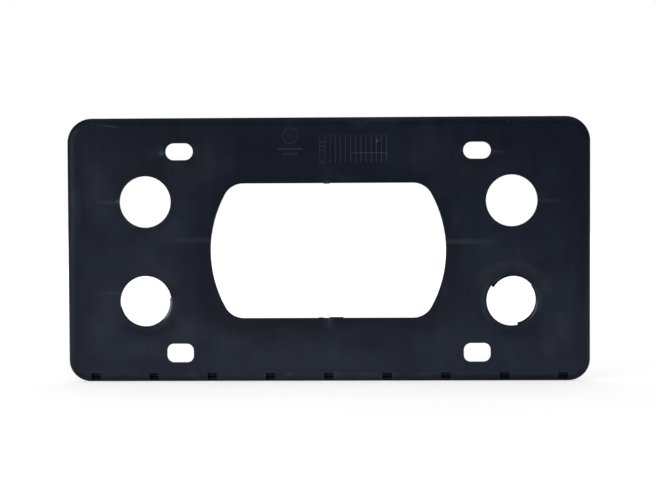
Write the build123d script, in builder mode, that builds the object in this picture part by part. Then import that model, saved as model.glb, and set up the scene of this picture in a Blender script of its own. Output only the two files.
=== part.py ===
# Number plate holder: a one-piece moulded backing tray for a 12 x 6 inch plate.
#
# The back face lies on the vehicle at Y = 0, and the plate sits in a shallow recess
# that opens towards -Y. X runs along the plate and Z is up. The origin is the centre
# of the four fixing slots, on the back face.

import os

from build123d import *

# the plate that the holder carries: its size, how far its fixing holes lie from its
# ends and from its long edges, and the room that it has in the recess
PLATE_WIDTH = 304.8
PLATE_HEIGHT = 152.4
PLATE_HOLE_FROM_END = 63.5
PLATE_HOLE_FROM_EDGE = 15.875
PLATE_SIDE_ROOM = 1.95
PLATE_END_ROOM = 0.6
PLATE_GAP = 2.2

# wall section: the back panel, the rim that stands forward of it, and their edges
PANEL = 2.2
RIM = 2.4
UPPER_CORNER_RADIUS = 14.8
LOWER_CORNER_RADIUS = 13.0
BACK_EDGE_RADIUS = 5.0
RECESS_FILLET = 0.8
RIM_EDGE_RADIUS = 0.6

# height of the outline's centre above the centre of the fixing slots
OUTLINE_LIFT = 1.5

# fixing slots: full round ends above, rounded rectangles below
UPPER_SLOT_LENGTH = 16.6
UPPER_SLOT_WIDTH = 10.1
LOWER_SLOT_LENGTH = 16.1
LOWER_SLOT_WIDTH = 11.3
LOWER_SLOT_CORNER = 4.2

# round clearance holes beside the window
HOLE_RADIUS = 15.4
HOLE_SPACING_X = 219.0
HOLE_SPACING_Z = 59.8
HOLE_LIFT = 0.5

# centre window: a circle cut off flat above and below
WINDOW_RADIUS = 70.4
WINDOW_HEIGHT = 80.7
WINDOW_CORNER = 12.5
WINDOW_LIFT = 0.85

# gate remains on the window's flat edges, each with its place along X, width and height
GATE_THICKNESS = 1.2
GATE_ROOT = 0.5
TOP_GATES = [(0.8, 3.6, 0.35)]
BOTTOM_GATES = [(4.4, 3.0, 0.3), (-4.8, 8.4, 0.5)]

# thin lips left in the two lower round holes, each with the hole's side, the lip's depth
# as a share of the panel, how much smaller its inner circle is than the hole, how far
# and which way that circle is shifted, and the arc that is left: its start and sweep
LIP_THICKNESS = 0.7
LIP_ROOT = 0.4
HOLE_LIPS = [
    (-1, 0.62, 1.78, 1.43, 135.0, 36.0, 108.0),
    (-1, 0.62, 1.2, 0.6, 100.0, 142.0, 114.0),
    (-1, 0.62, 0.35, 0.1, 110.0, 254.0, 144.0),
    (1, 0.3, 0.65, 0.15, 30.0, 172.0, 78.0),
    (1, 0.5, 0.5, 0.1, 60.0, 248.0, 100.0),
]

# plate hooks along the lower rim, each with a notch in the panel behind it that the
# hook covers on all sides; the end hooks stand just inside the recess's lower corners
HOOK_COUNT = 9
HOOK_END_ROOM = 3.75
HOOK_THICKNESS = 2.0
HOOK_CORNER = 1.2
HOOK_LEAD = 2.6
HOOK_SIDE_COVER = 1.7
HOOK_TOP_COVER = 0.9
NOTCH_WIDTH = 5.6
NOTCH_HEIGHT = 5.3

# date table engraved in the back face, measured down from the outline's top edge
ENGRAVE_DEPTH = 0.2
ENGRAVE_LINE = 0.5
TABLE_COLUMNS = 13
TABLE_PITCH = 3.06
TABLE_HEIGHT = 16.6
TABLE_START = 4.7
TABLE_DROP = 10.7
TABLE_RULE_DROP = 10.9
TABLE_RULE_COLUMNS = 7
TABLE_RUNG_DROPS = [4.4, 7.0, 9.4]
TABLE_DOT_RADIUS = 0.6
TABLE_DOT_COLUMN = 11.3
TABLE_DOT_DROP = 3.5

# month wheel and two plain bars engraved beside the table
WHEEL_X = 22.4
WHEEL_DROP = 11.3
WHEEL_RADIUS = 5.0
WHEEL_TICKS = 12
WHEEL_TICK_LENGTH = 1.4
WHEEL_POINTER_LENGTH = 4.4
BAR_HEIGHT = 1.3
BARS = [(19.1, 14.4), (22.0, 9.2)]

# sizes that follow from the ones above
recess_width = PLATE_WIDTH + 2 * PLATE_SIDE_ROOM
recess_height = PLATE_HEIGHT + 2 * PLATE_END_ROOM
recess_corner = LOWER_CORNER_RADIUS - RIM
outline_width = recess_width + 2 * RIM
outline_height = recess_height + 2 * RIM
depth = PANEL + PLATE_GAP + HOOK_THICKNESS
top = OUTLINE_LIFT + outline_height / 2
bottom = OUTLINE_LIFT - outline_height / 2
recess_floor = bottom + RIM
hook_width = NOTCH_WIDTH + 2 * HOOK_SIDE_COVER
hook_rise = NOTCH_HEIGHT + HOOK_TOP_COVER - RIM
hook_top = recess_floor + hook_rise
hook_back = -PANEL - PLATE_GAP
hook_pitch = (recess_width - 2 * (recess_corner + HOOK_END_ROOM)) / (HOOK_COUNT - 1)
hook_span = hook_pitch * (HOOK_COUNT - 1) / 2 + hook_width
notch_depth = PANEL + RECESS_FILLET
slot_spacing_x = PLATE_WIDTH - 2 * PLATE_HOLE_FROM_END
slot_row = PLATE_HEIGHT / 2 - PLATE_HOLE_FROM_EDGE
window_top = WINDOW_LIFT + WINDOW_HEIGHT / 2
window_bottom = WINDOW_LIFT - WINDOW_HEIGHT / 2
lower_hole_z = HOLE_LIFT - HOLE_SPACING_Z / 2
table_width = TABLE_COLUMNS * TABLE_PITCH
table_end = TABLE_START - table_width
table_top = top - TABLE_DROP
rule_length = TABLE_RULE_COLUMNS * TABLE_PITCH

back_plane = Plane.XZ
hook_seat = (Align.CENTER, Align.MIN)


def tray_outline(inset):
    """The tray's outline, or the line that lies this far inside it, with its rounded corners."""
    with BuildSketch() as outline:
        with Locations((0, OUTLINE_LIFT)):
            Rectangle(outline_width - 2 * inset, outline_height - 2 * inset)
        fillet(outline.vertices().group_by(Axis.Y)[-1], UPPER_CORNER_RADIUS - inset)
        fillet(outline.vertices().group_by(Axis.Y)[0], LOWER_CORNER_RADIUS - inset)
    return outline.sketch_local


def faces_at(y):
    """The holder's flat faces that lie at this depth."""
    near = RIM_EDGE_RADIUS / 10
    return plate_holder.faces().filter_by(Axis.Y).filter_by_position(Axis.Y, y - near, y + near)


with BuildPart() as plate_holder:
    # tray with a rounded back edge
    with BuildSketch(back_plane):
        add(tray_outline(0))
    extrude(amount=depth)
    fillet(faces_at(0).edges(), BACK_EDGE_RADIUS)

    # recess for the plate, which runs on behind the hooks
    with BuildSketch(back_plane.offset(PANEL)):
        add(tray_outline(RIM))
    extrude(amount=PLATE_GAP, mode=Mode.SUBTRACT)
    fillet(faces_at(-PANEL).edges(), RECESS_FILLET)

    # mouth of the recess, which goes round the plate hooks on the lower rim
    with BuildSketch(back_plane.offset(PANEL + PLATE_GAP)) as mouth:
        add(tray_outline(RIM))
        with Locations((0, recess_floor)):
            with GridLocations(hook_pitch, 1, HOOK_COUNT, 1):
                Rectangle(hook_width, hook_rise, align=hook_seat, mode=Mode.SUBTRACT)
        lower_points = mouth.vertices().filter_by_position(Axis.Y, bottom, hook_top + HOOK_CORNER)
        fillet(lower_points.filter_by_position(Axis.X, -hook_span, hook_span), HOOK_CORNER)
    extrude(amount=HOOK_THICKNESS, mode=Mode.SUBTRACT)
    fillet(faces_at(-depth).edges(), RIM_EDGE_RADIUS)

    # slanted lead-in on the back of each hook's tip
    with BuildSketch(Plane.YZ):
        with BuildLine():
            Polyline(
                (hook_back, hook_top),
                (hook_back, hook_top - HOOK_LEAD),
                (hook_back - HOOK_LEAD / 2, hook_top),
                close=True,
            )
        make_face()
    extrude(amount=hook_span, both=True, mode=Mode.SUBTRACT)

    # notches behind the hooks
    with BuildSketch(back_plane):
        with Locations((0, bottom)):
            with GridLocations(hook_pitch, 1, HOOK_COUNT, 1):
                Rectangle(NOTCH_WIDTH, 2 * NOTCH_HEIGHT)
    extrude(amount=notch_depth, mode=Mode.SUBTRACT)

    # fixing slots and round holes
    with BuildSketch(back_plane):
        with Locations((0, slot_row)):
            with GridLocations(slot_spacing_x, 1, 2, 1):
                SlotOverall(UPPER_SLOT_LENGTH, UPPER_SLOT_WIDTH)
        with Locations((0, -slot_row)):
            with GridLocations(slot_spacing_x, 1, 2, 1):
                RectangleRounded(LOWER_SLOT_LENGTH, LOWER_SLOT_WIDTH, LOWER_SLOT_CORNER)
        with Locations((0, HOLE_LIFT)):
            with GridLocations(HOLE_SPACING_X, HOLE_SPACING_Z, 2, 2):
                Circle(HOLE_RADIUS)
    extrude(amount=PANEL, mode=Mode.SUBTRACT)

    # centre window
    with BuildSketch(back_plane) as window:
        with Locations((0, WINDOW_LIFT)):
            Circle(WINDOW_RADIUS)
            Rectangle(2 * WINDOW_RADIUS, WINDOW_HEIGHT, mode=Mode.INTERSECT)
        fillet(window.vertices(), WINDOW_CORNER)
    extrude(amount=PANEL, mode=Mode.SUBTRACT)

    # gate remains on the window's edges
    with BuildSketch(back_plane.offset(PANEL / 2)):
        for x, width, height in TOP_GATES:
            with Locations((x, window_top - height)):
                Rectangle(width, height + GATE_ROOT, align=(Align.CENTER, Align.MIN))
        for x, width, height in BOTTOM_GATES:
            with Locations((x, window_bottom + height)):
                Rectangle(width, height + GATE_ROOT, align=(Align.CENTER, Align.MAX))
    extrude(amount=GATE_THICKNESS / 2, both=True)

    # thin lips in the lower round holes
    for side, lip_depth, undersize, shift, shift_angle, arc_start, arc_sweep in HOLE_LIPS:
        hole = Vector(side * HOLE_SPACING_X / 2, lower_hole_z)
        inner = hole + Vector(shift, 0).rotate(Axis.Z, shift_angle)
        with BuildSketch(back_plane.offset(lip_depth * PANEL)):
            with BuildLine():
                rim_arc = CenterArc(hole, HOLE_RADIUS + LIP_ROOT, arc_start, arc_sweep)
                Line(hole, rim_arc @ 0)
                Line(rim_arc @ 1, hole)
            make_face()
            with Locations(inner):
                Circle(HOLE_RADIUS - undersize, mode=Mode.SUBTRACT)
        extrude(amount=LIP_THICKNESS / 2, both=True)

    # date table: columns, top line, rule, rungs of the first column and one date dot
    with BuildSketch(back_plane):
        for column in range(TABLE_COLUMNS + 1):
            with Locations((TABLE_START - column * TABLE_PITCH, table_top)):
                Rectangle(ENGRAVE_LINE, TABLE_HEIGHT, align=(Align.CENTER, Align.MAX))
        with Locations((TABLE_START - table_width / 2, table_top)):
            Rectangle(table_width, ENGRAVE_LINE)
        with Locations((table_end + rule_length / 2, table_top - TABLE_RULE_DROP)):
            Rectangle(rule_length, ENGRAVE_LINE)
        for drop in TABLE_RUNG_DROPS + [TABLE_HEIGHT]:
            with Locations((TABLE_START - TABLE_PITCH / 2, table_top - drop)):
                Rectangle(TABLE_PITCH, ENGRAVE_LINE)
        with Locations((TABLE_START - TABLE_DOT_COLUMN * TABLE_PITCH, table_top - TABLE_DOT_DROP)):
            Circle(TABLE_DOT_RADIUS)
    extrude(amount=ENGRAVE_DEPTH, mode=Mode.SUBTRACT)

    # month wheel with its ticks and pointer, and the plain bars under it
    with BuildSketch(back_plane):
        with Locations((WHEEL_X, top - WHEEL_DROP)):
            Circle(WHEEL_RADIUS)
            Circle(WHEEL_RADIUS - ENGRAVE_LINE, mode=Mode.SUBTRACT)
            Rectangle(ENGRAVE_LINE, WHEEL_POINTER_LENGTH)
            with PolarLocations(WHEEL_RADIUS - WHEEL_TICK_LENGTH / 2, WHEEL_TICKS):
                Rectangle(WHEEL_TICK_LENGTH, ENGRAVE_LINE)
        for bar_drop, bar_length in BARS:
            with Locations((WHEEL_X, top - bar_drop)):
                Rectangle(bar_length, BAR_HEIGHT)
    extrude(amount=ENGRAVE_DEPTH, mode=Mode.SUBTRACT)

plate_holder.part.label = "plate_holder"

os.makedirs("parts", exist_ok=True)
export_step(plate_holder.part, "parts/plate_holder.step")
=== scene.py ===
"""Looks, light and camera for a moulded number plate holder.

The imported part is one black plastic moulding, and its shape is complete, so its node stays and
gets a finish. The camera sees the back, the side that goes against the vehicle. Sizes are in
millimetres where a name ends in _mm, and everything that Blender gets is in metres.
"""

import logging
import math
from dataclasses import dataclass, field
from enum import Enum
from typing import Any

import bmesh
import bpy
from mathutils import Matrix, Vector


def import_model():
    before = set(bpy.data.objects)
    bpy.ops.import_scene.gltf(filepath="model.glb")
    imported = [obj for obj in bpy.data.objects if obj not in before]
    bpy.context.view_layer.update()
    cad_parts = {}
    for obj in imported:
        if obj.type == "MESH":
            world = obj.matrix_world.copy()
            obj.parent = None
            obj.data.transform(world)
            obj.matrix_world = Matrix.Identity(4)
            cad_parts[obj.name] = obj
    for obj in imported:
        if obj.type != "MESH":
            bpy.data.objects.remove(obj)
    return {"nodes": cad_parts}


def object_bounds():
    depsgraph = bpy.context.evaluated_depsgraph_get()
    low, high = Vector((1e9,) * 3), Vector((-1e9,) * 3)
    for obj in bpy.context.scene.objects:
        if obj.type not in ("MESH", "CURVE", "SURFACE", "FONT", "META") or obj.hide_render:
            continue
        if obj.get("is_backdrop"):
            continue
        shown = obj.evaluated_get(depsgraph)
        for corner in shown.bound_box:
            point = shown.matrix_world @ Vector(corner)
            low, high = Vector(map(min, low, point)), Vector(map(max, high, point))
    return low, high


log = logging.getLogger("number_plate_holder")

MM = 0.001
# what is left of a vector when its part across the back face is taken out
IN_FACE = (1.0, 0.0, 1.0)
# a noise texture's middle value in each of its channels
NOISE_MIDDLE = (0.5, 0.5, 0.5)

Colour = tuple[float, float, float, float]
Box = tuple[Vector, Vector]
Socket = bpy.types.NodeSocket
Tree = bpy.types.NodeTree


def linear(hex_colour: str) -> Colour:
    """Turns an sRGB hex colour into the linear colour that shaders take.

    Args:
        hex_colour: six hex digits after a hash sign.

    Returns:
        Red, green, blue and an alpha of 1.
    """
    parts = [int(hex_colour[i:i + 2], 16) / 255 for i in (1, 3, 5)]
    red, green, blue = (
        p / 12.92 if p <= 0.04045 else ((p + 0.055) / 1.055) ** 2.4 for p in parts
    )
    return red, green, blue, 1.0


def add_node(
    tree: Tree,
    kind: str,
    inputs: dict[str | int, Any] | None = None,
    **settings: Any,
) -> bpy.types.Node:
    """Adds a node with its settings and links.

    Args:
        tree: the node tree that gets the node.
        kind: the node's type name in Blender.
        inputs: for each input's name or number, a value or the output it is linked to.
        **settings: the node's own properties.

    Returns:
        The new node.
    """
    node = tree.nodes.new(kind)
    for name, value in settings.items():
        setattr(node, name, value)
    for key, value in (inputs or {}).items():
        if isinstance(value, bpy.types.NodeSocket):
            tree.links.new(value, node.inputs[key])
        else:
            node.inputs[key].default_value = value
    return node


def offset_in_face(tree: Tree, place_mm: Socket, x_mm: float, z_mm: float) -> Socket:
    """Adds the nodes that measure how far a point lies from a centre on the back face.

    Args:
        tree: the material's node tree.
        place_mm: the point being shaded, in millimetres.
        x_mm: the centre's place along X.
        z_mm: the centre's place along Z.

    Returns:
        The vector from the centre to the point, without its depth.
    """
    centred = add_node(
        tree, "ShaderNodeVectorMath", {0: place_mm, 1: (x_mm, 0.0, z_mm)}, operation="SUBTRACT"
    )
    return add_node(
        tree,
        "ShaderNodeVectorMath",
        {0: centred.outputs["Vector"], 1: IN_FACE},
        operation="MULTIPLY",
    ).outputs["Vector"]


class MarkKind(Enum):
    """What a mark on the moulded face is, in the order in which the marks lie on each other."""

    # darker flow, and painted shade along edges, in corners and round the lower holes
    SHADE = "darker flow, and painted shade along edges and round the holes"
    # paler flow, and painted light along edges and round the lower holes
    HAZE_AND_LIGHT = "paler flow, and painted light along edges and round the holes"
    WELD_LINE = "weld line where two flows met"
    SCRATCH = "scratch"
    FADED = "engraving that hardly took"
    # painted highlights on the lower holes' edges and the hooks' slopes, and a paler engraved dot
    PALE_DOT_AND_HIGHLIGHT = "paler engraved dot, and painted highlights on hole edges and the hooks' slopes"


@dataclass(frozen=True)
class Streak:
    """A soft oval mark, strongest in its middle, on the back face unless y_mm puts it deeper."""

    kind: MarkKind
    x_mm: float
    z_mm: float
    half_length_mm: float
    half_width_mm: float
    strength: float
    turn_deg: float = 0.0
    half_depth_mm: float = 1.5
    y_mm: float = 0.0

    def mask(self, tree: Tree, place_mm: Socket) -> Socket:
        """Adds the nodes that draw the mark.

        Args:
            tree: the material's node tree.
            place_mm: the point being shaded, in millimetres.

        Returns:
            The mark's strength at that point.
        """
        local = add_node(
            tree,
            "ShaderNodeMapping",
            {
                "Vector": place_mm,
                "Location": (self.x_mm, self.y_mm, self.z_mm),
                "Rotation": (0.0, math.radians(self.turn_deg), 0.0),
                "Scale": (self.half_length_mm, self.half_depth_mm, self.half_width_mm),
            },
            vector_type="TEXTURE",
        )
        distance = add_node(
            tree, "ShaderNodeVectorMath", {0: local.outputs["Vector"]}, operation="LENGTH"
        )
        fade = add_node(
            tree,
            "ShaderNodeMapRange",
            {"Value": distance.outputs["Value"], "To Min": self.strength, "To Max": 0.0},
            interpolation_type="SMOOTHSTEP",
        )
        return fade.outputs["Result"]


@dataclass(frozen=True)
class Arc:
    """A soft mark along part of a round hole's edge, down to a depth behind the face.

    The way that it faces is an angle seen from the back: 0 is right, 90 is up.
    """

    kind: MarkKind
    x_mm: float
    z_mm: float
    radius_mm: float
    half_width_mm: float
    facing_deg: float
    half_span_deg: float
    strength: float
    depth_mm: float = 0.8

    def mask(self, tree: Tree, place_mm: Socket) -> Socket:
        """Adds the nodes that draw the mark.

        Args:
            tree: the material's node tree.
            place_mm: the point being shaded, in millimetres.

        Returns:
            The mark's strength at that point.
        """
        flat = offset_in_face(tree, place_mm, self.x_mm, self.z_mm)
        distance = add_node(tree, "ShaderNodeVectorMath", {0: flat}, operation="LENGTH")
        off_line = add_node(
            tree,
            "ShaderNodeMath",
            {0: distance.outputs["Value"], 1: self.radius_mm},
            operation="SUBTRACT",
        )
        off_line = add_node(
            tree, "ShaderNodeMath", {0: off_line.outputs["Value"]}, operation="ABSOLUTE"
        )
        across = add_node(
            tree,
            "ShaderNodeMapRange",
            {
                "Value": off_line.outputs["Value"],
                "From Max": self.half_width_mm,
                "To Min": self.strength,
                "To Max": 0.0,
            },
            interpolation_type="SMOOTHSTEP",
        )
        angle = math.radians(self.facing_deg)
        outward = add_node(tree, "ShaderNodeVectorMath", {0: flat}, operation="NORMALIZE")
        towards = add_node(
            tree,
            "ShaderNodeVectorMath",
            {0: outward.outputs["Vector"], 1: (-math.cos(angle), 0.0, math.sin(angle))},
            operation="DOT_PRODUCT",
        )
        along = add_node(
            tree,
            "ShaderNodeMapRange",
            {
                "Value": towards.outputs["Value"],
                "From Min": math.cos(math.radians(self.half_span_deg)),
                "From Max": 1.0,
            },
            interpolation_type="SMOOTHSTEP",
        )
        level = add_node(tree, "ShaderNodeSeparateXYZ", {0: place_mm}).outputs["Y"]
        near_face = add_node(
            tree, "ShaderNodeMath", {0: level, 1: -self.depth_mm}, operation="GREATER_THAN"
        )
        mark = add_node(
            tree,
            "ShaderNodeMath",
            {0: across.outputs["Result"], 1: along.outputs["Result"]},
            operation="MULTIPLY",
        )
        return add_node(
            tree,
            "ShaderNodeMath",
            {0: mark.outputs["Value"], 1: near_face.outputs["Value"]},
            operation="MULTIPLY",
        ).outputs["Value"]


@dataclass(frozen=True)
class WindowShade:
    """The darker band round the centre window, darkest at the window's edge."""

    radius_mm: float = 70.4
    half_height_mm: float = 40.35
    lift_mm: float = 0.85
    reach_mm: float = 15.0
    strength: float = 0.55

    def mask(self, tree: Tree, place_mm: Socket) -> Socket:
        """Adds the nodes that draw the band.

        Args:
            tree: the material's node tree.
            place_mm: the point being shaded, in millimetres.

        Returns:
            The band's strength at that point.
        """
        centred = add_node(
            tree,
            "ShaderNodeVectorMath",
            {0: place_mm, 1: (0.0, 0.0, self.lift_mm)},
            operation="SUBTRACT",
        ).outputs["Vector"]
        distance = add_node(tree, "ShaderNodeVectorMath", {0: centred}, operation="LENGTH")
        from_round = add_node(
            tree,
            "ShaderNodeMath",
            {0: distance.outputs["Value"], 1: self.radius_mm},
            operation="SUBTRACT",
        )
        height = add_node(tree, "ShaderNodeSeparateXYZ", {0: centred}).outputs["Z"]
        height = add_node(tree, "ShaderNodeMath", {0: height}, operation="ABSOLUTE")
        from_flat = add_node(
            tree,
            "ShaderNodeMath",
            {0: height.outputs["Value"], 1: self.half_height_mm},
            operation="SUBTRACT",
        )
        outside = add_node(
            tree,
            "ShaderNodeMath",
            {0: from_round.outputs["Value"], 1: from_flat.outputs["Value"]},
            operation="MAXIMUM",
        )
        fade = add_node(
            tree,
            "ShaderNodeMapRange",
            {
                "Value": outside.outputs["Value"],
                "From Max": self.reach_mm,
                "To Min": self.strength,
                "To Max": 0.0,
            },
            interpolation_type="SMOOTHSTEP",
        )
        return fade.outputs["Result"]


@dataclass(frozen=True)
class HoleDish:
    """The shallow sink that cooling leaves round a hole in a thin panel."""

    x_mm: float
    z_mm: float
    outer_radius_mm: float = 25.0
    inner_radius_mm: float = 14.5

    def height(self, tree: Tree, place_mm: Socket) -> Socket:
        """Adds the nodes that give the dish its profile.

        Args:
            tree: the material's node tree.
            place_mm: the point being shaded, in millimetres.

        Returns:
            0 at the hole's edge, 1 outside the dish.
        """
        flat = offset_in_face(tree, place_mm, self.x_mm, self.z_mm)
        distance = add_node(tree, "ShaderNodeVectorMath", {0: flat}, operation="LENGTH")
        rise = add_node(
            tree,
            "ShaderNodeMapRange",
            {
                "Value": distance.outputs["Value"],
                "From Min": self.inner_radius_mm,
                "From Max": self.outer_radius_mm,
            },
            interpolation_type="SMOOTHSTEP",
        )
        return rise.outputs["Result"]


Mark = Streak | Arc
# how strongly a layer of the finish shows, and its colour
Layer = tuple[Socket | float, str]

# the broad marks swirl with the melt, and the late ones lie over the engraving and the recesses
BROAD_KINDS = (MarkKind.SHADE, MarkKind.HAZE_AND_LIGHT)
FLOW_KINDS = (*BROAD_KINDS, MarkKind.WELD_LINE, MarkKind.SCRATCH)
LATE_KINDS = (MarkKind.FADED, MarkKind.PALE_DOT_AND_HIGHLIGHT)


@dataclass(frozen=True)
class MouldedBlackPlastic:
    """Black polypropylene, injection moulded against a plain satin tool.

    The eye sees a blue-black semi-gloss face, clouded where the melt flowed and cooled, with
    pale weld lines beside the openings where two flows met, and a fine grain from the tool.
    Painted light pales its foot and some edges, painted highlights lie on the lower holes' edges
    and the hooks' slopes, and painted shade darkens the recesses, other edges and round the holes.
    """

    name: str = "moulded_black_polypropylene"
    ior: float = 1.49
    specular_level: float = 0.22
    roughness_low: float = 0.27
    roughness_high: float = 0.35
    recess_roughness: float = 1.0
    # colours of the face, of the engraving and of the painted shade on what lies deeper, and then
    # of the marks
    dark: str = "#0d1422"
    light: str = "#242c3f"
    engraved: str = "#4b515d"
    recess_shade: str = "#04060a"
    colours: dict[MarkKind, str] = field(
        default_factory=lambda: {
            MarkKind.SHADE: "#050d20",
            MarkKind.HAZE_AND_LIGHT: "#363c49",
            MarkKind.WELD_LINE: "#4c525e",
            MarkKind.SCRATCH: "#50565f",
            MarkKind.FADED: "#161d2a",
            MarkKind.PALE_DOT_AND_HIGHLIGHT: "#a4a9b6",
        }
    )
    # clouding: the size of the clouds and of the upright streaks in them, how slowly the face
    # pales downwards, which is painted light from below, and the part of the noise that is used
    cloud_mm: float = 38.0
    cloud_detail: float = 3.0
    cloud_roughness: float = 0.55
    streak_mm: tuple[float, float, float] = (7.0, 30.0, 42.0)
    streak_share: float = 0.3
    fall_mm: float = 700.0
    cloud_range: tuple[float, float] = (0.25, 0.75)
    # detail in the noise of the upright streaks, the swirl and the grain
    fine_detail: float = 2.0
    # swirl that bends the broad marks, and how much the clouding thins or thickens them
    swirl_mm: float = 14.0
    swirl_reach_mm: float = 12.0
    uneven: tuple[float, float] = (0.4, 1.6)
    # relief: the panel's waves, the sinks round holes, and the tool's grain, which is drawn
    # coarser than the real one so that it shows
    wave_mm: float = 26.0
    wave_height_mm: float = 0.05
    wave_detail: float = 1.0
    dish_depth_mm: float = 0.22
    grain_mm: float = 0.9
    grain_height_mm: float = 0.006
    # levels behind the back face: the engraving, the lips in the holes and the notches, and how
    # squarely a surface there has to face backwards to be a floor
    engraving_mm: tuple[float, float] = (-0.26, -0.1)
    recess_mm: tuple[float, float] = (-2.1, -0.6)
    notch_mm: tuple[float, float] = (-7.0, -2.1)
    floor_normal: float = 0.99
    # where along the face the engraving goes from weak to full
    engraving_fade_mm: tuple[float, float] = (20.0, -36.0)
    engraving_weakest: float = 0.5
    # heights between which a hook's back darkens to its foot, and the rim below it pales again
    hook_foot_mm: tuple[float, float] = (-74.4, -74.9)
    rim_floor_mm: tuple[float, float] = (-75.3, -75.7)
    rim_floor_shade: float = 0.65

    def make(
        self, marks: list[Mark], shade: WindowShade, dishes: list[HoleDish]
    ) -> bpy.types.Material:
        """Makes the material.

        Args:
            marks: the flow marks, weld lines, scratches, faded engraving and a paler dot, with
                painted shade, painted light and painted highlights.
            shade: the darker band round the window.
            dishes: the sinks round the holes.

        Returns:
            The material, on Object coordinates.
        """
        material = bpy.data.materials.new(self.name)
        material.use_nodes = True
        tree = material.node_tree
        tree.nodes.clear()
        coordinates = add_node(tree, "ShaderNodeTexCoord")
        place = add_node(
            tree,
            "ShaderNodeVectorMath",
            {0: coordinates.outputs["Object"], "Scale": 1 / MM},
            operation="SCALE",
        ).outputs["Vector"]
        normal = coordinates.outputs["Normal"]
        cloud = self.cloud(tree, place)
        # painted shade on the lips in the holes and down in the notches, which are made rougher
        # too
        recess = add_node(
            tree,
            "ShaderNodeMath",
            {
                0: self.floor_mask(tree, place, normal, self.recess_mm),
                1: self.notch(tree, place, normal),
            },
            operation="MAXIMUM",
        ).outputs["Value"]
        layers: list[Layer] = [
            (cloud, self.light),
            (shade.mask(tree, place), self.colours[MarkKind.SHADE]),
            *self.mark_layers(tree, place, cloud, marks, FLOW_KINDS),
            (self.engraving(tree, place, normal), self.engraved),
            (recess, self.recess_shade),
            *self.mark_layers(tree, place, cloud, marks, LATE_KINDS),
        ]
        colour: Socket | Colour = linear(self.dark)
        for strength, layer_colour in layers:
            colour = add_node(
                tree,
                "ShaderNodeMix",
                {"Factor": strength, "A": colour, "B": linear(layer_colour)},
                data_type="RGBA",
            ).outputs["Result"]
        polish = add_node(
            tree,
            "ShaderNodeMapRange",
            {"Value": cloud, "To Min": self.roughness_high, "To Max": self.roughness_low},
        )
        roughness = add_node(
            tree,
            "ShaderNodeMapRange",
            {
                "Value": recess,
                "To Min": polish.outputs["Result"],
                "To Max": self.recess_roughness,
            },
        )
        shader = add_node(
            tree,
            "ShaderNodeBsdfPrincipled",
            {
                "Base Color": colour,
                "Roughness": roughness.outputs["Result"],
                "IOR": self.ior,
                "Specular IOR Level": self.specular_level,
                "Normal": self.relief(tree, place, dishes),
            },
        )
        add_node(tree, "ShaderNodeOutputMaterial", {"Surface": shader.outputs["BSDF"]})
        return material

    def cloud(self, tree: Tree, place_mm: Socket) -> Socket:
        """Adds the flow clouding, broad clouds and upright streaks, with a paler foot that is
        painted light from below.

        Args:
            tree: the material's node tree.
            place_mm: the point being shaded, in millimetres.

        Returns:
            0 where the face is darkest, 1 where it is palest.
        """
        broad = add_node(
            tree,
            "ShaderNodeTexNoise",
            {
                "Vector": place_mm,
                "Scale": 1 / self.cloud_mm,
                "Detail": self.cloud_detail,
                "Roughness": self.cloud_roughness,
            },
        )
        stretched = add_node(
            tree,
            "ShaderNodeVectorMath",
            {0: place_mm, 1: self.streak_mm},
            operation="DIVIDE",
        )
        upright = add_node(
            tree,
            "ShaderNodeTexNoise",
            {"Vector": stretched.outputs["Vector"], "Scale": 1.0, "Detail": self.fine_detail},
        )
        both = add_node(
            tree,
            "ShaderNodeMix",
            {
                "Factor": self.streak_share,
                "A": broad.outputs["Fac"],
                "B": upright.outputs["Fac"],
            },
        )
        height = add_node(tree, "ShaderNodeSeparateXYZ", {0: place_mm}).outputs["Z"]
        fallen = add_node(
            tree,
            "ShaderNodeMath",
            {0: height, 1: -1 / self.fall_mm, 2: both.outputs["Result"]},
            operation="MULTIPLY_ADD",
        )
        return add_node(
            tree,
            "ShaderNodeMapRange",
            {
                "Value": fallen.outputs["Value"],
                "From Min": self.cloud_range[0],
                "From Max": self.cloud_range[1],
            },
        ).outputs["Result"]

    def swirled(self, tree: Tree, place_mm: Socket) -> Socket:
        """Adds the swirl that keeps the broad marks from being plain ovals.

        Args:
            tree: the material's node tree.
            place_mm: the point being shaded, in millimetres.

        Returns:
            That point, moved along the swirl.
        """
        swirl = add_node(
            tree,
            "ShaderNodeTexNoise",
            {"Vector": place_mm, "Scale": 1 / self.swirl_mm, "Detail": self.fine_detail},
        )
        swirl = add_node(
            tree,
            "ShaderNodeVectorMath",
            {0: swirl.outputs["Color"], 1: NOISE_MIDDLE},
            operation="SUBTRACT",
        )
        return add_node(
            tree,
            "ShaderNodeVectorMath",
            {
                0: swirl.outputs["Vector"],
                1: (self.swirl_reach_mm, 0.0, self.swirl_reach_mm),
                2: place_mm,
            },
            operation="MULTIPLY_ADD",
        ).outputs["Vector"]

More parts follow.
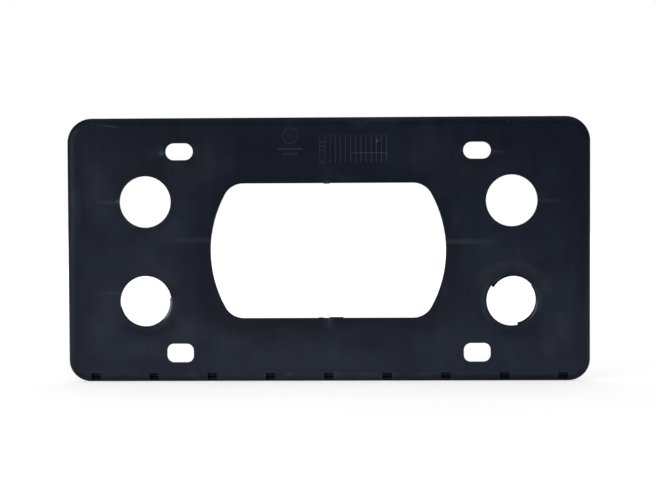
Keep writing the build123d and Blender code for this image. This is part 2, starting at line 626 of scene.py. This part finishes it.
    def mark_layers(
        self,
        tree: Tree,
        place_mm: Socket,
        cloud: Socket,
        marks: list[Mark],
        kinds: tuple[MarkKind, ...],
    ) -> list[Layer]:
        """Adds the marks of some kinds, and where two of a kind meet, the stronger one shows.

        Args:
            tree: the material's node tree.
            place_mm: the point being shaded, in millimetres.
            cloud: the flow clouding, which breaks up the broad marks.
            marks: all the marks on the face.
            kinds: the kinds of mark to add, the lowest first.

        Returns:
            One layer for each kind.
        """
        layers: list[Layer] = []
        for kind in kinds:
            broad = kind in BROAD_KINDS
            streak_place = self.swirled(tree, place_mm) if broad else place_mm
            strongest: Socket | float = 0.0
            for mark in marks:
                if mark.kind is kind:
                    place = streak_place if isinstance(mark, Streak) else place_mm
                    strongest = add_node(
                        tree,
                        "ShaderNodeMath",
                        {0: strongest, 1: mark.mask(tree, place)},
                        operation="MAXIMUM",
                    ).outputs["Value"]
            if broad:
                uneven = add_node(
                    tree,
                    "ShaderNodeMapRange",
                    {"Value": cloud, "To Min": self.uneven[0], "To Max": self.uneven[1]},
                )
                strongest = add_node(
                    tree,
                    "ShaderNodeMath",
                    {0: strongest, 1: uneven.outputs["Result"]},
                    operation="MULTIPLY",
                ).outputs["Value"]
            layers.append((strongest, self.colours[kind]))
        return layers

    def floor_mask(
        self, tree: Tree, place_mm: Socket, normal: Socket, depths_mm: tuple[float, float]
    ) -> Socket:
        """Finds the flat floors that lie between two depths behind the back face.

        Args:
            tree: the material's node tree.
            place_mm: the point being shaded, in millimetres.
            normal: the surface normal in the part's frame.
            depths_mm: the lowest and the highest level.

        Returns:
            1 on those floors, 0 elsewhere.
        """
        lowest, highest = depths_mm
        middle = (lowest + highest) / 2
        inside = add_node(
            tree,
            "ShaderNodeMath",
            {
                0: add_node(tree, "ShaderNodeSeparateXYZ", {0: place_mm}).outputs["Y"],
                1: middle,
                2: highest - middle,
            },
            operation="COMPARE",
        )
        level = add_node(
            tree,
            "ShaderNodeMath",
            {
                0: add_node(tree, "ShaderNodeSeparateXYZ", {0: normal}).outputs["Y"],
                1: self.floor_normal,
            },
            operation="GREATER_THAN",
        )
        return add_node(
            tree,
            "ShaderNodeMath",
            {0: inside.outputs["Value"], 1: level.outputs["Value"]},
            operation="MULTIPLY",
        ).outputs["Value"]

    def engraving(self, tree: Tree, place_mm: Socket, normal: Socket) -> Socket:
        """Adds the engraving's floors, which are paler towards the date table's last month.

        Args:
            tree: the material's node tree.
            place_mm: the point being shaded, in millimetres.
            normal: the surface normal in the part's frame.

        Returns:
            How pale the floor is, 0 off the engraving.
        """
        strength = add_node(
            tree,
            "ShaderNodeMapRange",
            {
                "Value": add_node(tree, "ShaderNodeSeparateXYZ", {0: place_mm}).outputs["X"],
                "From Min": self.engraving_fade_mm[0],
                "From Max": self.engraving_fade_mm[1],
                "To Min": self.engraving_weakest,
            },
        )
        return add_node(
            tree,
            "ShaderNodeMath",
            {
                0: strength.outputs["Result"],
                1: self.floor_mask(tree, place_mm, normal, self.engraving_mm),
            },
            operation="MULTIPLY",
        ).outputs["Value"]

    def notch(self, tree: Tree, place_mm: Socket, normal: Socket) -> Socket:
        """Adds the shade down in the notches, dull on the rim and darkest at each hook's foot.

        Args:
            tree: the material's node tree.
            place_mm: the point being shaded, in millimetres.
            normal: the surface normal in the part's frame.

        Returns:
            How dark the notch's floor is, 0 elsewhere.
        """
        height = add_node(tree, "ShaderNodeSeparateXYZ", {0: place_mm}).outputs["Z"]
        shade = self.floor_mask(tree, place_mm, normal, self.notch_mm)
        for (start, end), first, last in (
            (self.hook_foot_mm, 0.0, 1.0),
            (self.rim_floor_mm, 1.0, self.rim_floor_shade),
        ):
            ramp = add_node(
                tree,
                "ShaderNodeMapRange",
                {
                    "Value": height,
                    "From Min": start,
                    "From Max": end,
                    "To Min": first,
                    "To Max": last,
                },
            )
            shade = add_node(
                tree, "ShaderNodeMath", {0: shade, 1: ramp.outputs["Result"]}, operation="MULTIPLY"
            ).outputs["Value"]
        return shade

    def relief(self, tree: Tree, place_mm: Socket, dishes: list[HoleDish]) -> Socket:
        """Adds the tool's grain, the panel's slight waves and the dishes round the holes.

        Args:
            tree: the material's node tree.
            place_mm: the point being shaded, in millimetres.
            dishes: the sinks round the holes.

        Returns:
            The shading normal.
        """
        grain = add_node(
            tree,
            "ShaderNodeTexNoise",
            {"Vector": place_mm, "Scale": 1 / self.grain_mm, "Detail": self.fine_detail},
        )
        normal = add_node(
            tree,
            "ShaderNodeBump",
            {"Height": grain.outputs["Fac"], "Distance": self.grain_height_mm * MM},
        )
        wave = add_node(
            tree,
            "ShaderNodeTexNoise",
            {"Vector": place_mm, "Scale": 1 / self.wave_mm, "Detail": self.wave_detail},
        )
        normal = add_node(
            tree,
            "ShaderNodeBump",
            {
                "Height": wave.outputs["Fac"],
                "Distance": self.wave_height_mm * MM,
                "Normal": normal.outputs["Normal"],
            },
        )
        for dish in dishes:
            normal = add_node(
                tree,
                "ShaderNodeBump",
                {
                    "Height": dish.height(tree, place_mm),
                    "Distance": self.dish_depth_mm * MM,
                    "Normal": normal.outputs["Normal"],
                },
            )
        return normal.outputs["Normal"]


@dataclass
class PlateHolder:
    """The one moulding: a flat back panel with a rim, openings, notches, mould marks and painted
    light and shade.
    """

    node_name: str = "plate_holder"
    finish: MouldedBlackPlastic = field(default_factory=MouldedBlackPlastic)
    window_shade: WindowShade = field(default_factory=WindowShade)
    hole_x_mm: float = 109.5
    lower_hole_z_mm: float = -29.4

    def marks(self) -> list[Mark]:
        """Lists the marks on the back face.

        Returns:
            Each mark, with its place, half sizes and strength.
        """
        shade, haze_and_light = MarkKind.SHADE, MarkKind.HAZE_AND_LIGHT
        weld, scratch = MarkKind.WELD_LINE, MarkKind.SCRATCH
        faded, dot_and_highlight = MarkKind.FADED, MarkKind.PALE_DOT_AND_HIGHLIGHT
        # the lower round holes, left and right as seen from the back
        left = self.hole_x_mm, self.lower_hole_z_mm
        right = -self.hole_x_mm, self.lower_hole_z_mm
        return [
            Streak(shade, 35.0, 58.0, 30.0, 20.0, 0.45),
            Streak(shade, -24.0, 58.0, 24.0, 18.0, 0.3),
            # painted shade: the next four darken the top edge, both lower corners and the left
            # edge
            Streak(shade, 0.0, 80.5, 220.0, 3.0, 0.45, half_depth_mm=6.0),
            Streak(shade, 154.0, -68.0, 10.0, 15.0, 0.8, half_depth_mm=7.0),
            Streak(shade, -156.0, -68.0, 11.0, 17.0, 0.85, half_depth_mm=7.0),
            Streak(shade, 153.0, -12.0, 8.0, 18.0, 0.45, half_depth_mm=4.0),
            Streak(shade, -103.0, 14.0, 11.0, 5.0, 0.4),
            # painted shade: the next seven darken the top edge, the top right corner and both side
            # edges
            Streak(shade, 115.0, 71.0, 46.0, 9.0, 0.45),
            Streak(shade, -125.0, 71.0, 40.0, 9.0, 0.4),
            Streak(shade, -148.0, 34.0, 16.0, 56.0, 0.5),
            Streak(shade, 148.0, 28.0, 4.0, 50.0, 0.35),
            Streak(shade, -144.0, 2.0, 8.0, 30.0, 0.4),
            Streak(shade, 150.0, -50.0, 13.0, 36.0, 0.5, half_depth_mm=4.0),
            Streak(shade, -153.0, 6.0, 9.0, 90.0, 0.65, half_depth_mm=4.0),
            Streak(shade, 75.0, -25.0, 10.0, 24.0, 0.6),
            Streak(shade, 69.0, -35.0, 11.0, 14.0, 0.6),
            # painted shade: the next two darken the lower left corner and the top edge
            Streak(shade, 142.0, -66.0, 16.0, 10.0, 0.35),
            Streak(shade, 110.0, 69.0, 60.0, 11.0, 0.4),
            Streak(shade, 78.0, 4.0, 9.0, 40.0, 0.35),
            Streak(shade, 4.0, -42.0, 90.0, 6.0, 0.6),
            Streak(shade, -24.0, -55.0, 28.0, 13.0, 0.45),
            Streak(shade, 109.0, 11.5, 12.0, 4.0, 0.3),
            Streak(shade, 137.3, 56.0, 2.5, 4.5, 0.35),
            # painted shade: the next three darken round the lower holes, where their dishes would
            # be shaded
            Arc(shade, *left, 19.0, 3.5, -90.0, 70.0, 0.4),
            Arc(shade, *right, 16.4, 1.5, 80.0, 45.0, 0.4),
            Arc(shade, *right, 19.5, 3.5, -75.0, 50.0, 0.35),
            # painted light: the next two pale the bottom and top edges
            Streak(haze_and_light, 22.0, -76.0, 165.0, 5.0, 1.0, half_depth_mm=9.0),
            Streak(haze_and_light, -30.0, 78.5, 46.0, 4.0, 0.4, half_depth_mm=9.0),
            Streak(haze_and_light, 89.0, 50.0, 15.0, 22.0, 0.35),
            # painted light round the left lower hole
            Arc(haze_and_light, *left, 17.0, 2.8, -40.0, 55.0, 0.5),
            # painted light along the left edge
            Streak(haze_and_light, 151.0, 27.0, 5.0, 20.0, 0.45),
            Streak(haze_and_light, 138.0, 36.0, 12.0, 32.0, 0.4),
            Streak(haze_and_light, 132.0, -32.0, 14.0, 24.0, 0.4),
            Streak(haze_and_light, 128.0, 30.7, 20.0, 4.0, 0.35),
            Streak(haze_and_light, 101.0, 58.2, 10.0, 3.5, 0.35),
            Streak(haze_and_light, 79.0, 58.5, 6.0, 10.0, 0.5),
            Streak(haze_and_light, 99.0, 61.0, 5.0, 8.0, 0.3),
            Streak(haze_and_light, 70.0, 54.0, 22.0, 19.0, 0.45),
            Streak(haze_and_light, 87.0, 34.0, 5.0, 13.0, 0.25),
            Streak(haze_and_light, 97.0, 10.0, 17.0, 17.0, 0.4),
            Streak(haze_and_light, 110.0, -2.0, 34.0, 14.0, 0.3),
            Streak(haze_and_light, 92.0, 8.0, 20.0, 5.0, 0.35),
            Streak(haze_and_light, 101.0, -9.5, 18.0, 5.0, 0.25),
            Streak(haze_and_light, 95.0, -14.0, 12.0, 9.0, 0.35),
            Streak(haze_and_light, 86.0, -48.0, 17.0, 14.0, 0.65),
            Streak(haze_and_light, 113.0, -58.0, 18.0, 10.0, 0.4),
            Streak(haze_and_light, 56.0, -55.0, 20.0, 9.0, 0.35),
            Streak(haze_and_light, 138.0, -46.0, 14.0, 16.0, 0.35),
            Streak(haze_and_light, 20.0, -64.0, 70.0, 12.0, 0.3),
            Streak(haze_and_light, -0.6, -42.0, 4.0, 11.0, 0.35),
            Streak(haze_and_light, 0.8, 46.0, 7.0, 14.0, 0.3),
            Streak(haze_and_light, -8.0, 44.0, 18.0, 5.0, 0.25),
            Streak(haze_and_light, -79.0, 58.0, 8.0, 9.0, 0.3),
            Streak(haze_and_light, -83.0, 49.0, 9.0, 8.0, 0.3),
            Streak(haze_and_light, -60.0, 62.0, 26.0, 24.0, 0.3),
            Streak(haze_and_light, -65.0, 37.0, 9.0, 12.0, 0.2),
            Streak(haze_and_light, -74.0, 18.0, 4.0, 14.0, 0.25),
            Streak(haze_and_light, -70.0, -21.0, 4.0, 8.0, 0.35),
            Streak(haze_and_light, -139.0, -44.0, 11.0, 16.0, 0.45),
            Streak(haze_and_light, -132.0, -55.0, 12.0, 10.0, 0.4),
            Streak(haze_and_light, -90.0, 5.5, 20.0, 4.0, 0.2),
            Streak(haze_and_light, -108.0, -2.0, 34.0, 8.0, 0.25),
            Streak(haze_and_light, -92.0, 47.0, 24.0, 12.0, 0.1),
            Streak(haze_and_light, -126.0, 30.2, 15.0, 3.5, 0.25),
            Streak(haze_and_light, -129.0, -22.0, 9.0, 10.0, 0.35),
            Streak(haze_and_light, -99.0, 58.6, 11.0, 3.0, 0.35),
            Streak(haze_and_light, 126.0, -23.8, 16.0, 3.0, 0.3),
            # painted light: the next three pale round the right lower hole
            Arc(haze_and_light, *right, 22.5, 5.0, 95.0, 85.0, 0.35),
            Arc(haze_and_light, *right, 17.0, 2.5, 8.0, 40.0, 0.5),
            Arc(haze_and_light, *right, 17.6, 2.0, 175.0, 60.0, 0.6),
            Streak(weld, 125.8, 30.8, 2.4, 1.8, 1.0),
            Streak(weld, 133.6, 30.5, 8.0, 2.0, 0.3),
            Streak(weld, 99.3, 59.4, 3.2, 2.2, 0.75),
            Streak(weld, 77.0, 7.6, 26.0, 2.6, 0.23),
            Streak(weld, -77.0, 6.0, 32.0, 2.4, 0.36),
            Streak(weld, -127.0, 30.2, 17.0, 1.5, 0.25),
            Streak(weld, -98.0, 59.4, 12.0, 1.5, 0.26),
            Streak(weld, -79.4, 60.4, 2.2, 4.5, 0.15),
            Streak(weld, 128.0, -24.3, 16.0, 1.8, 0.25),
            Streak(weld, 97.5, -61.1, 11.0, 1.5, 0.25),
            Streak(weld, -0.6, -39.8, 1.6, 8.0, 0.4),
            Streak(weld, 0.8, 41.4, 2.6, 1.8, 0.6),
            Streak(scratch, 130.9, 75.8, 8.0, 0.7, 0.5, -7.1),
            Streak(scratch, 141.4, 77.4, 2.5, 0.9, 0.3, -10.0),
            Streak(scratch, -106.9, 77.2, 1.6, 0.6, 0.5, -40.0),
            Streak(faded, -15.2, 70.0, 60.0, 1.2, 0.85),
            Streak(faded, 22.4, 60.2, 14.0, 5.0, 0.5),
            Streak(dot_and_highlight, -29.2, 65.9, 0.9, 0.9, 0.4),
            # painted highlight on the hooks' slopes down in the notches
            Streak(dot_and_highlight, 0.0, -73.5, 600.0, 0.9, 0.07, half_depth_mm=0.9, y_mm=-4.7),
            # painted highlights: the next five lie along the lower holes' edges
            Arc(dot_and_highlight, *left, 15.2, 1.3, -18.0, 34.0, 0.8),
            Arc(dot_and_highlight, *right, 15.1, 0.7, -20.0, 34.0, 0.6, 1.2),
            Arc(dot_and_highlight, *right, 15.0, 0.6, -50.0, 36.0, 0.2, 1.2),
            Arc(dot_and_highlight, *right, 15.4, 0.8, 22.0, 28.0, 0.12, 1.2),
            Arc(dot_and_highlight, *right, 15.1, 0.6, 128.0, 22.0, 0.3, 1.2),
        ]

    def dress(self, nodes: dict[str, bpy.types.Object]) -> bpy.types.Object:
        """Gives the moulding its finish.

        Args:
            nodes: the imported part's nodes by name.

        Returns:
            The moulding's object.
        """
        moulding = nodes[self.node_name]
        dishes = [
            HoleDish(x_mm, self.lower_hole_z_mm) for x_mm in (self.hole_x_mm, -self.hole_x_mm)
        ]
        material = self.finish.make(self.marks(), self.window_shade, dishes)
        for slot in moulding.material_slots:
            slot.material = material
        return moulding


@dataclass(frozen=True)
class Softbox:
    """A large soft lamp that is aimed at the part."""

    name: str
    place_mm: tuple[float, float, float]
    width_mm: float
    height_mm: float
    watts: float
    aim_mm: tuple[float, float, float] = (0.0, 0.0, 0.0)
    colour: str = "#ffffff"

    def build(self) -> bpy.types.Object:
        """Builds the lamp and points it at its aim.

        Returns:
            The lamp.
        """
        lamp = bpy.data.lights.new(self.name, "AREA")
        lamp.shape = "RECTANGLE"
        lamp.size = self.width_mm * MM
        lamp.size_y = self.height_mm * MM
        lamp.energy = self.watts
        lamp.color = linear(self.colour)[:3]
        holder = bpy.data.objects.new(self.name, lamp)
        holder.location = Vector(self.place_mm) * MM
        way = Vector(self.aim_mm) * MM - holder.location
        holder.rotation_euler = way.to_track_quat("-Z", "Y").to_euler()
        bpy.context.scene.collection.objects.link(holder)
        return holder


@dataclass
class Studio:
    """The pale floor, the soft lamps, the white surround and the camera."""

    # the floor, and its glow to the camera, which grows to white away from the part
    floor_mm: float = 9000.0
    floor_colour: str = "#e6e6e6"
    near_glow: float = 0.6
    near_mm: float = 250.0
    far_mm: float = 1600.0
    # the floor's glow in reflections: how far behind the part it rises and then falls again, and
    # the share of it that is left there
    mirror_glow: float = 0.6
    mirror_colour: str = "#eef2ff"
    mirror_rise_mm: tuple[float, float] = (1.0, 12.0)
    mirror_fall_mm: tuple[float, float] = (200.0, 1200.0)
    mirror_left: float = 0.4
    # the surround's light, its level in reflections on the front's side and on the back's side,
    # and the ways along Y between which the one turns to the other
    surround_colour: str = "#ffffff"
    surround_light: float = 0.38
    surround_mirror: tuple[float, float] = (0.02, 0.1)
    surround_turn: tuple[float, float] = (-0.25, 0.25)
    # the camera: its lens, its place, what it looks at and how far it is tilted
    lens_mm: float = 70.0
    sensor_mm: float = 36.0
    camera_mm: tuple[float, float, float] = (-14.84, 761.34, 25.62)
    target_mm: tuple[float, float, float] = (0.06, 0.0, 3.63)
    roll_deg: float = 0.266
    softboxes: list[Softbox] = field(
        default_factory=lambda: [
            Softbox("softbox_left", (1050.0, 950.0, 400.0), 1500.0, 900.0, 4.5),
            Softbox("softbox_right", (-1150.0, 750.0, 450.0), 1500.0, 900.0, 0.25),
            Softbox("softbox_top", (0.0, 0.0, 1300.0), 2000.0, 2000.0, 2.5),
            Softbox("softbox_far_left", (700.0, -1200.0, 450.0), 1500.0, 900.0, 1.5),
            Softbox("softbox_far_right", (-700.0, -1200.0, 450.0), 1500.0, 900.0, 1.5),
        ]
    )

    def build(self, box: Box) -> list[bpy.types.Object]:
        """Builds the studio round the part.

        Args:
            box: the part's lowest and highest corners.

        Returns:
            The floor, the lamps and the camera.
        """
        scene = bpy.context.scene
        scene.view_settings.view_transform = "Standard"
        self.surround(scene)
        lamps = [softbox.build() for softbox in self.softboxes]
        return [self.floor(box[0].z), *lamps, self.camera(scene)]

    def surround(self, scene: bpy.types.Scene) -> None:
        """Makes the world white to the camera and dim to everything else.

        Args:
            scene: the scene that gets the world.
        """
        world = bpy.data.worlds.new("studio_surround")
        world.use_nodes = True
        tree = world.node_tree
        tree.nodes.clear()
        path = add_node(tree, "ShaderNodeLightPath")
        way = add_node(tree, "ShaderNodeTexCoord").outputs["Generated"]
        mirrored = add_node(
            tree,
            "ShaderNodeMapRange",
            {
                "Value": add_node(tree, "ShaderNodeSeparateXYZ", {0: way}).outputs["Y"],
                "From Min": self.surround_turn[0],
                "From Max": self.surround_turn[1],
                "To Min": self.surround_mirror[0],
                "To Max": self.surround_mirror[1],
            },
        )
        strength = add_node(
            tree,
            "ShaderNodeMapRange",
            {
                "Value": path.outputs["Is Glossy Ray"],
                "To Min": self.surround_light,
                "To Max": mirrored.outputs["Result"],
            },
        )
        strength = add_node(
            tree,
            "ShaderNodeMath",
            {0: strength.outputs["Result"], 1: path.outputs["Is Camera Ray"]},
            operation="MAXIMUM",
        )
        glow = add_node(
            tree,
            "ShaderNodeBackground",
            {"Color": linear(self.surround_colour), "Strength": strength.outputs["Value"]},
        )
        add_node(tree, "ShaderNodeOutputWorld", {"Surface": glow.outputs["Background"]})
        scene.world = world

    def floor(self, level: float) -> bpy.types.Object:
        """Builds the pale floor under the part.

        Args:
            level: the height of the part's lowest point.

        Returns:
            The floor, marked as stage.
        """
        shape = bmesh.new()
        bmesh.ops.create_grid(shape, x_segments=1, y_segments=1, size=self.floor_mm * MM / 2)
        bmesh.ops.translate(shape, vec=(0.0, 0.0, level), verts=shape.verts[:])
        mesh = bpy.data.meshes.new("studio_floor")
        shape.to_mesh(mesh)
        shape.free()
        floor = bpy.data.objects.new("studio_floor", mesh)
        bpy.context.scene.collection.objects.link(floor)
        mesh.materials.append(self.floor_finish())
        floor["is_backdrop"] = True
        return floor

    def floor_finish(self) -> bpy.types.Material:
        """Makes the matt floor paint, which the camera sees lit up to white.

        Returns:
            The floor's material, with a glow that the camera and reflections see. What the
            camera sees of it is weaker near the part, where the lamps reach, so that the part's
            shadow shows there, and what reflections see of it stops short of the part's foot.
        """
        material = bpy.data.materials.new("matt_floor_paint")
        material.use_nodes = True
        tree = material.node_tree
        tree.nodes.clear()
        path = add_node(tree, "ShaderNodeLightPath")
        paint = add_node(tree, "ShaderNodeBsdfDiffuse", {"Color": linear(self.floor_colour)})
        coordinates = add_node(tree, "ShaderNodeTexCoord")
        distance = add_node(
            tree, "ShaderNodeVectorMath", {0: coordinates.outputs["Object"]}, operation="LENGTH"
        )
        spread = add_node(
            tree,
            "ShaderNodeMapRange",
            {
                "Value": distance.outputs["Value"],
                "From Min": self.near_mm * MM,
                "From Max": self.far_mm * MM,
                "To Min": self.near_glow,
                "To Max": 1.0,
            },
        )
        seen = add_node(
            tree,
            "ShaderNodeMath",
            {0: spread.outputs["Result"], 1: path.outputs["Is Camera Ray"]},
            operation="MULTIPLY",
        )
        across = add_node(tree, "ShaderNodeSeparateXYZ", {0: coordinates.outputs["Object"]})
        reflected = path.outputs["Is Glossy Ray"]
        for (start, end), first, last in (
            (self.mirror_rise_mm, 0.0, self.mirror_glow),
            (self.mirror_fall_mm, 1.0, self.mirror_left),
        ):
            ramp = add_node(
                tree,
                "ShaderNodeMapRange",
                {
                    "Value": across.outputs["Y"],
                    "From Min": start * MM,
                    "From Max": end * MM,
                    "To Min": first,
                    "To Max": last,
                },
            )
            reflected = add_node(
                tree,
                "ShaderNodeMath",
                {0: reflected, 1: ramp.outputs["Result"]},
                operation="MULTIPLY",
            ).outputs["Value"]
        to_camera = add_node(tree, "ShaderNodeEmission", {"Strength": seen.outputs["Value"]})
        to_gloss = add_node(
            tree,
            "ShaderNodeEmission",
            {"Color": linear(self.mirror_colour), "Strength": reflected},
        )
        surface = paint.outputs["BSDF"]
        for glow in (to_camera, to_gloss):
            surface = add_node(
                tree, "ShaderNodeAddShader", {0: surface, 1: glow.outputs["Emission"]}
            ).outputs["Shader"]
        add_node(tree, "ShaderNodeOutputMaterial", {"Surface": surface})
        return material

    def camera(self, scene: bpy.types.Scene) -> bpy.types.Object:
        """Builds the camera that looks at the back of the part.

        Args:
            scene: the scene that the camera serves.

        Returns:
            The camera.
        """
        lens = bpy.data.cameras.new("camera")
        lens.lens = self.lens_mm
        lens.sensor_width = self.sensor_mm
        lens.sensor_fit = "HORIZONTAL"
        camera = bpy.data.objects.new("camera", lens)
        place = Vector(self.camera_mm) * MM
        aim = Vector(self.target_mm) * MM - place
        turn = aim.to_track_quat("-Z", "Y").to_matrix()
        roll = Matrix.Rotation(math.radians(-self.roll_deg), 3, "Z")
        camera.matrix_world = Matrix.Translation(place) @ (turn @ roll).to_4x4()
        scene.collection.objects.link(camera)
        scene.camera = camera
        return camera


def main() -> None:
    """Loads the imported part, dresses it and builds the studio round it."""
    logging.basicConfig(level=logging.INFO, format="%(name)s: %(message)s")
    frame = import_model()
    cad_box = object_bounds()
    moulding = PlateHolder().dress(frame["nodes"])
    log.info("dressed %s with %s", moulding.name, moulding.material_slots[0].material.name)
    for piece in Studio().build(cad_box):
        log.info("built %s", piece.name)


if __name__ == "__main__":
    main()
